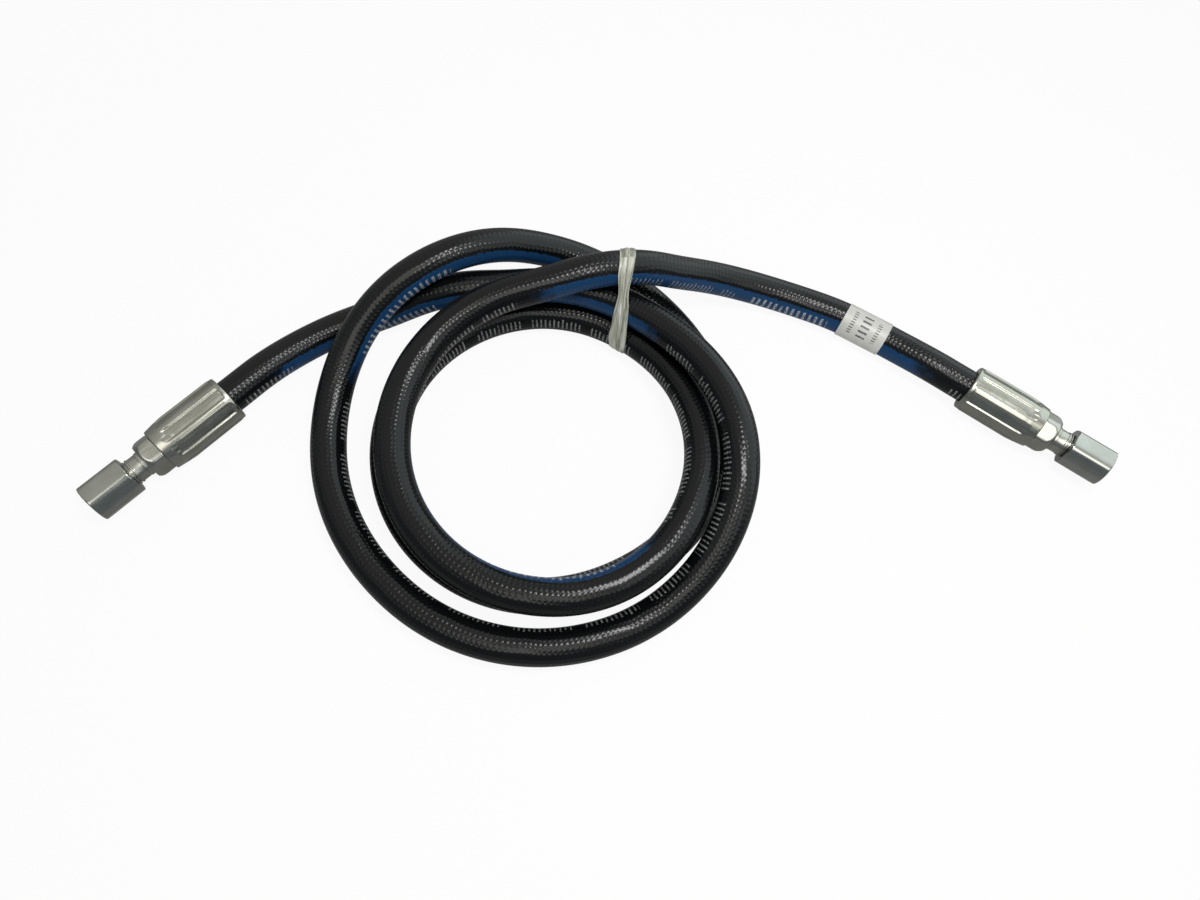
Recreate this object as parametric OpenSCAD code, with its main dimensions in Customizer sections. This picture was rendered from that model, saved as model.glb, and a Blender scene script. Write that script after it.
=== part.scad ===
// Hydraulic hose assembly: one coiled hose with a swivel-nut fitting crimped on each end.
// The coil lies flat on the ground plane z = 0, held together by a film tie.

/* [Hose] */
// Outside diameter of the rubber cover
hose_d = 13; // [12:0.1:13.4]
// Wall of the rubber cover
cover_wall = 1.05; // [0.8:0.05:1.2]
// Thickness of the steel wire braid
braid_wall = 0.5; // [0.3:0.05:0.6]
// Bore of the inner tube, across its flats
bore_d = 6.3; // [6.3:0.05:6.8]
// Space left between one layer of the hose and the next
layer_gap = 0.1; // [0.05:0.01:0.12]

/* [Ferrule] */
// Diameter over the ridges that the crimping dies leave
ferrule_d = 18.5; // [18:0.1:20]
// Diameter over the faces pressed by the crimping dies
crimp_d = 17.3; // [16.4:0.1:17.8]
// Number of crimping dies
die_count = 8; // [6:1:10]
// Width of the ridge left between two dies
ridge_w = 1.2; // [0.6:0.1:2]
// Diameter of the plain band at the ferrule's mouth
mouth_d = 18.1; // [17.4:0.1:18.4]
// Length of the plain band at the ferrule's mouth
mouth_len = 2.6; // [1.5:0.1:5]
// Rounding of the mouth band's edges
mouth_round = 0.7; // [0.2:0.1:0.7]
// Length of the ferrule
ferrule_len = 30; // [28:0.5:36]
// Length of the tapered end beside the hexagon
taper_len = 5; // [3:0.5:8]
// Diameter of the shoulder where the taper begins
shoulder_d = 18.1; // [17.8:0.1:18.4]
// Diameter of the tapered end beside the hexagon
ferrule_end_d = 16.8; // [15.4:0.1:17.2]
// How far the hose goes into the ferrule
hose_depth = 25; // [22:0.5:25.5]
// Number of gripping grooves inside the ferrule
groove_count = 6; // [3:1:8]
// Depth of the gripping grooves
groove_depth = 0.4; // [0.2:0.05:0.6]
// Space round the hose inside the ferrule
hose_clearance = 0.1; // [0.05:0.01:0.2]

/* [Stem] */
// Bore that the fluid flows through
flow_d = 4; // [3:0.1:4.4]
// Diameter over the barbs of the tail
barb_d = 6.1; // [5.6:0.05:6.1]
// Depth of the barbs
barb_depth = 0.3; // [0.1:0.05:0.4]
// Number of barbs on the tail
barb_count = 6; // [3:1:9]
// Length of one barb
barb_pitch = 3; // [2:0.1:3.2]
// Diameter of the groove that the ferrule locks into
lock_d = 7.6; // [6.8:0.1:8.2]
// Diameter of the collar that the hose stops against
collar_d = 9.2; // [8.6:0.1:10]
// Length of the collar
collar_len = 0.5; // [0.4:0.05:0.6]
// Hexagon across its flats
hex_af = 14.29; // [13:0.01:16]
// Length of the hexagon
hex_len = 6; // [5.2:0.1:9]
// Length of the dome turned on the hexagon's end towards the nut
dome_len = 4.2; // [1:0.1:5]
// Diameter of the hexagon's end face towards the nut
dome_end_d = 13.2; // [11.5:0.1:13.8]
// Turn of the left hexagon about its axis
left_hex_turn = 15; // [0:1:60]
// Turn of the right hexagon about its axis
right_hex_turn = 2; // [0:1:60]
// Diameter of the neck beyond the hexagon
neck_d = 9.8; // [9:0.1:11]
// Length of the neck beyond the hexagon
neck_len = 6; // [3:0.1:12]
// Diameter of the journal that the nut turns on
journal_d = 8; // [7.4:0.05:8.4]
// Diameter of the head that holds the nut on
head_d = 9.4; // [9:0.05:9.6]
// Length of the head
head_len = 5.4; // [4:0.1:8]
// Angle between the flare seat and the axis
seat_angle = 37; // [30:1:45]
// Diameter of the flare seat's rim
seat_d = 8.6; // [7:0.1:8.8]

/* [Swivel nut] */
// Nut across its flats
nut_af = 14.29; // [13.5:0.01:16]
// Length of the nut
nut_len = 16; // [12:0.1:20]
// Bore inside the thread
thread_d = 9.86; // [9.8:0.01:10.4]
// Length of the thread
thread_len = 7.5; // [5:0.1:8]
// Diameter of the clear chamber round the stem's head, behind the thread
chamber_d = 10.6; // [10.4:0.1:11.4]
// Depth of the lip that runs on the journal
lip_len = 2; // [1.2:0.1:3]
// Radial running clearance between the lip and the journal
lip_fit = 0.08; // [0.05:0.01:0.1]
// Space along the axis beside the nut's lip
end_play = 0.3; // [0.2:0.05:0.5]
// Diameter of the lead-in at the nut's mouth
lead_in_d = 11.4; // [10.8:0.1:12]
// Turn of the left nut about its axis
left_nut_turn = 33; // [0:1:60]
// Turn of the right nut about its axis
right_nut_turn = -27; // [-60:1:60]

/* [Label and tie] */
// Length of the identification label
label_len = 18.5; // [12:0.5:20]
// Thickness of the identification label
label_t = 0.2; // [0.1:0.05:0.3]
// Width of the film tie
tie_w = 5.5; // [3:0.5:8]
// Thickness of the film tie
tie_t = 0.3; // [0.2:0.05:0.4]
// Space between the wrapped pieces and the hose
wrap_gap = 0.15; // [0.05:0.01:0.2]

/* [Hidden] */
$fn = 48;

// Small overlap that joins the pieces of one solid and cuts cleanly through faces
eps = 0.01;

// ---- Where the fittings lie: mouth of the ferrule, and the way the nut points
left_mouth = [-145, 14.5];
left_way = 227;
right_mouth = [138.5, 26.5];
right_way = -35;

// ---- Route of the hose where it is not coiled: x, y and height of its underside
left_route = [[-124, 36, 1], [-109, 46.5, 0], [-88.5, 54, 3.5], [-76.5, 56.5, 8.5]];
right_route = [
  [-2.5, 60.5, 26.5], [10, 64, 22.5], [23, 67.5, 15], [36.5, 70.5, 8],
  [56.5, 70, 2], [76, 65, 0], [91, 58.5, 0.5], [110.5, 47, 0.5]
];

// ---- Coil: turned clockwise from the end of the left route, seen from above
coil_centre = [-28, -1];
coil_start = 105;
coil_turn = 1095;
ring_step = 15;
// Radius at the start, and its changes: from this turn, to this turn, by this much
start_radius = 64;
radius_changes = [
  [-9, 7, -2.2], [52, 148, 13.2], [230, 320, 6.2], [304, 349, -5.6], [345, 385, 3.5],
  [384, 439, -7.5], [422, 539, -14.3], [803, 906, 5.5], [865, 1015, -9.7], [1085, 1130, 11.6]
];
// Height of the underside at the start, and its changes as the hose climbs over itself
start_lift = 13.3;
lift_changes = [
  [41, 103, 7.4], [105, 168, -20.5], [282, 364, 34.8], [319, 414, -35],
  [700, 740, 0.5], [760, 855, 13.3], [1007, 1129, 14.1]
];

// ---- Derived sizes
hose_r = hose_d / 2;
cover_bore_r = hose_r - cover_wall;
braid_r = cover_bore_r - layer_gap;
braid_bore_r = braid_r - braid_wall;
tube_r = braid_bore_r - layer_gap;
coil_sides = 6;
run_sides = 12;
tube_bore_r = bore_d / 2 / cos(180 / coil_sides);
axis_z = ferrule_d / 2;
lock_gap = 0.1;
collar_gap = 0.3;
collar_at = hose_depth + collar_gap;
flange_at = collar_at + collar_len + collar_gap;
hex_at = ferrule_len + collar_gap;
neck_at = hex_at + hex_len;
journal_at = neck_at + neck_len;
nut_at = journal_at + end_play;
head_at = nut_at + lip_len + end_play;
head_end = head_at + head_len;

// ---- Path of the hose
function unit(v) = v / norm(v);
function ease(t) = (1 - cos(180 * min(1, max(0, t)))) / 2;
function changed(start, changes, a) =
  let (parts = [for (c = changes) c[2] * ease((a - c[0]) / (c[1] - c[0]))])
  start + parts * [for (c = changes) 1];
function coil_point(a) =
  let (r = changed(start_radius, radius_changes, a), way = coil_start - a)
  [
    coil_centre[0] + r * cos(way),
    coil_centre[1] + r * sin(way),
    hose_r + changed(start_lift, lift_changes, a)
  ];
function coil_way(a) = unit(coil_point(a + 1) - coil_point(a - 1));
function lifted(route) = [for (p = route) [p[0], p[1], p[2] + hose_r]];
function on_axis(mouth, way, along) =
  [mouth[0] + along * cos(way), mouth[1] + along * sin(way), axis_z];

left_points = concat(
  [for (along = [hose_depth, 0, -hose_d]) on_axis(left_mouth, left_way, along)],
  lifted(left_route)
);
coil_points = concat(
  [coil_point(0) - hose_d * coil_way(0)],
  [for (a = [0 : ring_step : coil_turn]) coil_point(a)],
  [coil_point(coil_turn) + hose_d * coil_way(coil_turn)]
);
right_points = concat(
  lifted(right_route),
  [for (along = [-hose_d, 0, hose_depth]) on_axis(right_mouth, right_way, along)]
);
hose_points = concat(left_points, coil_points, right_points);
last = len(hose_points) - 1;
coil_first = len(left_points);
coil_last = coil_first + len(coil_points) - 1;

// Way along the hose at a point; straight where the fittings and the coil begin
function hose_way(i) =
  i == 0 || i == coil_first ? unit(hose_points[i + 1] - hose_points[i])
  : i == last || i == coil_last ? unit(hose_points[i] - hose_points[i - 1])
  : unit(unit(hose_points[i + 1] - hose_points[i]) + unit(hose_points[i] - hose_points[i - 1]));

// ---- Least gap between two turns of the hose, measured on points along it
gap_samples = 3;
sampled = [
  for (i = [0 : last - 1], k = [0 : gap_samples - 1])
    hose_points[i] + (hose_points[i + 1] - hose_points[i]) * k / gap_samples
];
skipped = 4 * gap_samples;
least_gap = min([
  for (i = [0 : len(sampled) - 1 - skipped])
    min([for (j = [i + skipped : len(sampled) - 1]) norm(sampled[i] - sampled[j])])
]) - hose_d;
echo(least_gap_between_turns = least_gap);
hose_length = [for (i = [1 : last]) norm(hose_points[i] - hose_points[i - 1])]
  * [for (i = [1 : last]) 1];
echo(hose_length = hose_length);

// ---- Tube swept along points: rings of flat-sided sections, with the bore left open
function ring(p, way, r, sides) =
  let (side = unit(cross(way, [0, 0, 1])), up = cross(side, way))
  [
    for (k = [0 : sides - 1])
      let (a = 360 * k / sides - 90)
      p + r * (cos(a) * side + sin(a) * up)
  ];

module tube(points, ways, r, bore_r, sides) {
  n = len(points);
  outer = [for (i = [0 : n - 1]) each ring(points[i], ways[i], r, sides)];
  inner = [for (i = [0 : n - 1]) each ring(points[i], ways[i], bore_r, sides)];
  step = n * sides;
  faces = concat(
    [
      for (i = [0 : n - 2], k = [0 : sides - 1])
        let (a = i * sides + k, b = i * sides + (k + 1) % sides, c = a + sides, d = b + sides)
        each [[a, b, c], [b, d, c], [step + a, step + c, step + b], [step + b, step + c, step + d]]
    ],
    [
      for (k = [0 : sides - 1])
        let (a = k, b = (k + 1) % sides, c = (n - 1) * sides)
        each [
          [a, step + a, b], [b, step + a, step + b],
          [c + a, c + b, step + c + a], [c + b, step + c + b, step + c + a]
        ]
    ]
  );
  polyhedron(points = concat(outer, inner), faces = faces, convexity = 10);
}

module hose_layer(from, to, r, bore_r, sides) {
  tube(
    [for (i = [from : to]) hose_points[i]],
    [for (i = [from : to]) hose_way(i)],
    r, bore_r, sides
  );
}

module hose_left_run() {
  color("#1c1d1f")
    hose_layer(0, coil_first, hose_r, cover_bore_r, run_sides);
}

module hose_coil() {
  color("#1c1d1f")
    hose_layer(coil_first, coil_last, hose_r, cover_bore_r, coil_sides);
}

module hose_right_run() {
  color("#1c1d1f")
    hose_layer(coil_last, last, hose_r, cover_bore_r, run_sides);
}

module wire_braid() {
  color("#8d8f90")
    hose_layer(0, last, braid_r, braid_bore_r, coil_sides);
}

module inner_tube() {
  color("#141414")
    hose_layer(0, last, tube_r, tube_bore_r, coil_sides);
}

// ---- Fittings: drawn on +Z from the ferrule's mouth towards the nut
module placed(mouth, way) {
  translate([mouth[0], mouth[1], axis_z])
    rotate([0, 90, way])
      children();
}

// Half section of a bar with rounded outer edges
module rounded_bar(r, h, e) {
  square([r - e, h]);
  translate([0, e])
    square([r, h - 2 * e]);
  for (y = [e, h - e])
    translate([r - e, y])
      circle(r = e);
}

// Ridges left between the crimping dies, rising from the pressed faces and falling back
module crimp_ridges(from, to) {
  ridge_h = (ferrule_d - crimp_d) / 2;
  sunk_r = crimp_d / 2 - ridge_h / 2;
  intersection() {
    for (k = [0 : die_count - 1])
      rotate(360 * k / die_count)
        translate([sunk_r - ridge_h, -ridge_w / 2, 0])
          cube([ferrule_d / 2, ridge_w, to + ridge_h]);
    rotate_extrude()
      polygon([
        [0, from], [sunk_r, from], [ferrule_d / 2, from + 1.5 * ridge_h],
        [ferrule_d / 2, to - 2 * ridge_h], [sunk_r, to], [0, to]
      ]);
  }
}

module ferrule() {
  straight = ferrule_len - taper_len;
  die_end = (shoulder_d - crimp_d) / 2;
  grip_pitch = (hose_depth - 2 * mouth_len) / groove_count;
  bore_r = hose_r + hose_clearance;
  difference() {
    union() {
      rotate_extrude()
        rounded_bar(mouth_d / 2, mouth_len, mouth_round);
      // Crimped length, the shoulder that the dies leave and the taper beside the hexagon
      rotate_extrude()
        polygon([
          [0, mouth_len / 2], [crimp_d / 2, mouth_len / 2], [crimp_d / 2, straight - die_end],
          [shoulder_d / 2, straight], [ferrule_end_d / 2, ferrule_len], [0, ferrule_len]
        ]);
      crimp_ridges(mouth_len - mouth_round, straight + mouth_round);
    }
    translate([0, 0, -eps])
      cylinder(r = bore_r, h = flange_at + eps);
    // Lead-in for the hose
    translate([0, 0, -eps])
      cylinder(r1 = bore_r + groove_depth, r2 = bore_r, h = 2 * groove_depth);
    for (k = [0 : groove_count - 1])
      translate([0, 0, mouth_len + (k + 0.25) * grip_pitch])
        cylinder(r = bore_r + groove_depth, h = grip_pitch / 2);
    cylinder(d = lock_d + 2 * lock_gap, h = ferrule_len + eps);
  }
}

// Size of a hexagon over its corners, and of its end face where it is turned to a chamfer
function corner_r(af) = af / 2 / cos(30);
function face_r(af) = af / 2 * 0.97;
function bevel(af) = (corner_r(af) - face_r(af)) * tan(30);

// Hexagon with its near end chamfered and its far end turned down to a face over a length
module turned_hex(af, h, far_r, far_len) {
  intersection() {
    cylinder(r = corner_r(af), h = h, $fn = 6);
    rotate_extrude()
      polygon([
        [0, 0], [face_r(af), 0], [corner_r(af), bevel(af)],
        [corner_r(af), h - far_len], [far_r, h], [0, h]
      ]);
  }
}

module stem(turn) {
  root_r = barb_d / 2 - barb_depth;
  tail_at = collar_at - barb_count * barb_pitch;
  seat_depth = (seat_d - flow_d) / 2 / tan(seat_angle);
  difference() {
    union() {
      rotate_extrude()
        polygon(concat(
          [[0, tail_at]],
          [
            for (k = [0 : barb_count - 1])
              each [
                [root_r, tail_at + k * barb_pitch],
                [barb_d / 2, tail_at + (k + 0.75) * barb_pitch],
                [root_r, tail_at + (k + 0.8) * barb_pitch]
              ]
          ],
          [
            [root_r, collar_at], [collar_d / 2, collar_at],
            [collar_d / 2, collar_at + collar_len],
            [lock_d / 2, collar_at + collar_len], [lock_d / 2, hex_at + eps], [0, hex_at + eps]
          ]
        ));
      translate([0, 0, hex_at])
        rotate(turn)
          turned_hex(hex_af, hex_len, dome_end_d / 2, dome_len);
      translate([0, 0, neck_at - eps])
        cylinder(d = neck_d, h = neck_len + eps);
      translate([0, 0, journal_at - eps])
        cylinder(d = journal_d, h = head_at - journal_at + 2 * eps);
      translate([0, 0, head_at])
        cylinder(d = head_d, h = head_len);
    }
    translate([0, 0, tail_at - eps])
      cylinder(d = flow_d, h = head_end - tail_at + 2 * eps);
    translate([0, 0, head_end - seat_depth])
      cylinder(d1 = flow_d, d2 = seat_d, h = seat_depth + eps);
  }
}

module nut(turn) {
  lead_in = (lead_in_d - thread_d) / 2;
  translate([0, 0, nut_at])
    difference() {
      rotate(turn)
        turned_hex(nut_af, nut_len, face_r(nut_af), bevel(nut_af));
      translate([0, 0, -eps])
        cylinder(d = journal_d + 2 * lip_fit, h = lip_len + 2 * eps);
      translate([0, 0, lip_len])
        cylinder(d = chamber_d, h = nut_len - lead_in - thread_len - lip_len);
      translate([0, 0, lip_len + eps])
        cylinder(d = thread_d, h = nut_len - lip_len);
      translate([0, 0, nut_len - lead_in])
        cylinder(d1 = thread_d, d2 = lead_in_d, h = lead_in + eps);
    }
}

module left_stem() {
  color("#a9a99c")
    placed(left_mouth, left_way)
      stem(left_hex_turn);
}

module left_ferrule() {
  color("#b2b1a3")
    placed(left_mouth, left_way)
      ferrule();
}

module left_nut() {
  color("#a3a6a4")
    placed(left_mouth, left_way)
      nut(left_nut_turn);
}

module right_stem() {
  color("#a9a99c")
    placed(right_mouth, right_way)
      stem(right_hex_turn);
}

module right_ferrule() {
  color("#b2b1a3")
    placed(right_mouth, right_way)
      ferrule();
}

module right_nut() {
  color("#a3a6a4")
    placed(right_mouth, right_way)
      nut(right_nut_turn);
}

// ---- Identification label: a sleeve on the straight stretch before the right ferrule
module id_label() {
  stations = coil_last + len(right_route);
  a = hose_points[stations - 1];
  b = hose_points[stations];
  way = unit(b - a);
  middle = (a + b) / 2;
  ends = [middle - way * label_len / 2, middle + way * label_len / 2];
  color("#e9e8e2")
    tube(ends, [way, way], hose_r + wrap_gap + label_t, hose_r + wrap_gap, run_sides);
}

// ---- Film tie: one band drawn round the four strands that pass at the top of the coil
// Turn of the coil that the band passes, and the way it runs across the strands
tie_turn = 43.2;
tie_way = 85;
// Bars that the band is wrapped on: turns of the coil, and shares of the right run's first chord
tied_turns = [40, 48, 395, 401, 761, 769];
tied_shares = [0.2, 0.6];

// Point and way of the coil's own straight chord at a turn
function chord_at(a) =
  let (k = floor(a / ring_step), p = coil_point(k * ring_step), q = coil_point((k + 1) * ring_step))
  [p + (q - p) * (a / ring_step - k), unit(q - p)];
function run_at(share) =
  let (p = right_points[0], q = right_points[1])
  [p + (q - p) * share, unit(q - p)];
tie_at = chord_at(tie_turn)[0];
tied = concat([for (a = tied_turns) chord_at(a)], [for (s = tied_shares) run_at(s)]);

// A round bar along each tied strand, all wrapped together
module bundle(r) {
  hull()
    for (s = tied)
      translate(s[0])
        rotate([0, acos(s[1][2]), atan2(s[1][1], s[1][0])])
          cylinder(r = r, h = tie_w + hose_r, center = true, $fn = 32);
}

module coil_tie() {
  inside = hose_r + wrap_gap;
  color("#dfe0da")
    intersection() {
      difference() {
        bundle(inside + tie_t);
        bundle(inside);
      }
      translate([tie_at[0], tie_at[1], 0])
        rotate(tie_way)
          translate([-start_radius, -tie_w / 2, 0])
            cube([2 * start_radius, tie_w, start_radius]);
    }
}

left_stem();
left_ferrule();
left_nut();
right_stem();
right_ferrule();
right_nut();
hose_left_run();
hose_coil();
hose_right_run();
wire_braid();
inner_tube();
coil_tie();
id_label();
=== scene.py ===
import math

import bpy
import numpy as np
from mathutils import Matrix, Vector


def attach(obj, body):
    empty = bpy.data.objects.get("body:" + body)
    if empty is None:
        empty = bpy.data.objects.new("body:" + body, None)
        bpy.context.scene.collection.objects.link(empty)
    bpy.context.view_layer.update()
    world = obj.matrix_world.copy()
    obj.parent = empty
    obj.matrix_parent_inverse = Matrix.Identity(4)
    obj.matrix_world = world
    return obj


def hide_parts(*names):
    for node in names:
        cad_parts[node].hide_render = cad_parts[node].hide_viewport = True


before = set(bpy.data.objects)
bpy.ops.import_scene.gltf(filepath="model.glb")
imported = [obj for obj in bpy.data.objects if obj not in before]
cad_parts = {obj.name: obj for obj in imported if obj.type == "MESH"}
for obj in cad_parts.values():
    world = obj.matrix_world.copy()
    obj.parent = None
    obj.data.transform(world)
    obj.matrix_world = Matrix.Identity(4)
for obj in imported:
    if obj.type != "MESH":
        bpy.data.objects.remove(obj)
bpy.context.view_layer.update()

bl_info = {
    "name": "Hydraulic hose assembly",
    "version": (1, 0, 0),
    "blender": (4, 5, 0),
    "location": "3D View > Sidebar > Hose",
    "description": "Dresses a coiled hydraulic hose with a crimped swivel fitting on each end",
    "category": "Object",
}

# ---- Where things lie, in metres and degrees, as in the part's source
# Each fitting: where its ferrule's mouth lies, which way its axis points, and how high the axis lies
SIDES = ("left", "right")
MOUTH = {"left": (-0.145, 0.0145), "right": (0.1385, 0.0265)}
WAY = {"left": 227.0, "right": -35.0}
AXIS_Z = 0.00925
# How deep the hose goes into a ferrule, and how far it runs straight out of one and into and out of the coil
HOSE_DEPTH = 0.025
STRAIGHT_RUN = 0.013
# Hose where it is not coiled: x, y and height of its underside
LEFT_ROUTE = [
    (-0.124, 0.036, 0.001), (-0.109, 0.0465, 0), (-0.0885, 0.054, 0.0035), (-0.0765, 0.0565, 0.0085),
]
RIGHT_ROUTE = [
    (-0.0025, 0.0605, 0.0265), (0.01, 0.064, 0.0225), (0.023, 0.0675, 0.015), (0.0365, 0.0705, 0.008),
    (0.0565, 0.07, 0.002), (0.076, 0.065, 0), (0.091, 0.0585, 0.0005), (0.1105, 0.047, 0.0005),
]
# Coil: its middle, where on the circle it starts, how far it turns and the turn from station to station
COIL_CENTRE = (-0.028, -0.001)
COIL_START = 105
COIL_TURN = 1095
RING_STEP = 15
# Radius of the coil and height of its underside: from this turn, to this turn, by this much
START_RADIUS = 0.064
RADIUS_CHANGES = [
    (-9, 7, -0.0022), (52, 148, 0.0132), (230, 320, 0.0062), (304, 349, -0.0056), (345, 385, 0.0035),
    (384, 439, -0.0075), (422, 539, -0.0143), (803, 906, 0.0055), (865, 1015, -0.0097), (1085, 1130, 0.0116),
]
START_LIFT = 0.0133
LIFT_CHANGES = [
    (41, 103, 0.0074), (105, 168, -0.0205), (282, 364, 0.0348), (319, 414, -0.035),
    (700, 740, 0.0005), (760, 855, 0.0133), (1007, 1129, 0.0141),
]
# Film tie: the coil's turn that it sits at, the way it faces, and how far from there its strands lie
TIE_TURN = 43.2
TIE_WAY = 85
TIE_REACH = 0.03

# ---- What is printed on the hose and on the label, in metres
# Turn of the printed line, in degrees from the hose's right-hand side, by the distance along the hose
PRINT_TURN = [
    (0.0, 0), (0.025, 0), (0.05, -5), (0.17, -5), (0.2, 0), (0.23, 10), (0.26, 18), (0.3, 42), (0.33, 45),
    (0.36, 30), (0.42, 20), (0.48, 22), (0.51, 15), (0.53, -3), (0.58, -8), (0.62, -5), (0.7, 0), (0.8, 30),
    (0.95, 14), (0.99, 16), (1.03, 14), (1.06, 12), (1.1, 16), (1.13, 28), (1.165, 20), (1.2, 20), (1.24, -5),
    (1.29, -30), (1.33, -10), (1.375, 3), (1.42, -6), (1.46, 0), (1.6, 0),
]
# Where the printed line is coloured, and where strokes are printed on it: from, to
COLOURED = [(0.04, 0.212), (0.52, 0.69), (1.16, 1.3), (1.375, 1.556)]
STROKED = [(0.0, 0.05), (0.215, 0.515), (0.695, 1.155), (1.305, 1.37), (1.412, 1.466), (1.56, 1.6)]
WIDE_STROKED = [(0.088, 0.115), (0.535, 0.585), (1.18, 1.23), (1.262, 1.285), (1.473, 1.508)]
# Strokes on the hose: distance between two, width, half their height
SMALL_STROKE = (0.0019, 0.00065, 0.0033)
WIDE_STROKE = (0.0026, 0.0011, 0.0037)
# Rows on the label: place along it, half height, distance between two strokes, width, how far the row reaches
LABEL_ROWS = [
    (-0.0052, 0.0008, 0.0011, 0.00045, 0.0052),
    (0.0, 0.0019, 0.0021, 0.0008, 0.006),
    (0.0052, 0.0008, 0.0011, 0.00045, 0.0045),
]

# ---- Camera and lamps
CAMERA_AT = (-0.022, -0.122, 0.2956)
CAMERA_AHEAD = (0.0494, 0.3813, -0.9231)
CAMERA_RIGHT = (0.9986, 0, 0.0534)
FOCAL_LENGTH = 25
SENSOR_WIDTH = 36
# Each lamp's name, the setting that holds its power, its size and its place. All point at the origin
LAMPS = [
    ("overhead_light", "key_power", 0.13, (0.09, -0.03, 0.47)),
    ("side_light", "side_power", 0.35, (0.5, -0.45, 0.6)),
]


class HoseSizes(bpy.types.PropertyGroup):
    diameter: bpy.props.FloatProperty(
        name="Diameter", description="Outside diameter of the rubber cover", default=0.013, unit="LENGTH")
    cover_wall: bpy.props.FloatProperty(
        name="Cover wall", description="Wall of the rubber cover", default=0.00105, unit="LENGTH")
    braid_wall: bpy.props.FloatProperty(
        name="Braid", description="Thickness of the wire braid", default=0.0005, unit="LENGTH")
    bore: bpy.props.FloatProperty(
        name="Bore", description="Bore of the inner tube", default=0.0064, unit="LENGTH")
    layer_gap: bpy.props.FloatProperty(
        name="Layer gap", description="Space between two layers", default=0.0001, unit="LENGTH")
    step: bpy.props.FloatProperty(
        name="Ring step", description="Length between two rings of the mesh", default=0.002, unit="LENGTH")
    cover_colour: bpy.props.FloatVectorProperty(
        name="Rubber", description="Colour of the rubber cover",
        default=(0.003, 0.0036, 0.0039), subtype="COLOR")
    line_colour: bpy.props.FloatVectorProperty(
        name="Line", description="Colour of the printed line", default=(0.008, 0.046, 0.125), subtype="COLOR")
    ink_colour: bpy.props.FloatVectorProperty(
        name="Ink", description="Colour of the printed strokes", default=(0.38, 0.39, 0.39), subtype="COLOR")
    line_width: bpy.props.FloatProperty(
        name="Line width", description="Width of the printed line", default=0.0086, unit="LENGTH")
    cloth_pitch: bpy.props.FloatProperty(
        name="Cloth pitch", description="Distance between two knots of the cloth's imprint", default=0.0018,
        unit="LENGTH")


class FerruleSizes(bpy.types.PropertyGroup):
    ridge_diameter: bpy.props.FloatProperty(
        name="Over ridges", description="Diameter over the crimped ridges", default=0.0185, unit="LENGTH")
    crimp_diameter: bpy.props.FloatProperty(
        name="Over faces", description="Diameter over the pressed faces", default=0.0173, unit="LENGTH")
    mouth_diameter: bpy.props.FloatProperty(
        name="Mouth", description="Diameter of the band at the mouth", default=0.0181, unit="LENGTH")
    shoulder_diameter: bpy.props.FloatProperty(
        name="Shoulder", description="Diameter of the shoulder that the dies leave",
        default=0.0181, unit="LENGTH")
    end_diameter: bpy.props.FloatProperty(
        name="Taper end", description="Diameter of the tapered end", default=0.0168, unit="LENGTH")
    length: bpy.props.FloatProperty(
        name="Length", description="Length of the ferrule", default=0.03, unit="LENGTH")
    taper: bpy.props.FloatProperty(
        name="Taper", description="Length of the tapered end", default=0.005, unit="LENGTH")
    band: bpy.props.FloatProperty(
        name="Band", description="Length of the band at the mouth", default=0.0026, unit="LENGTH")
    dies: bpy.props.IntProperty(
        name="Dies", description="Number of crimping dies", default=8)
    ridge_width: bpy.props.FloatProperty(
        name="Ridge width", description="Width of a ridge at its foot", default=0.0034, unit="LENGTH")
    turns: bpy.props.FloatVectorProperty(
        name="Turns", description="Turn of the left and the right ferrule's ridges", size=2,
        default=(math.radians(10), math.radians(-12)), unit="ROTATION")
    colour: bpy.props.FloatVectorProperty(
        name="Zinc", description="Colour of the ferrules' plating",
        default=(0.35, 0.35, 0.315), subtype="COLOR")


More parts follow.
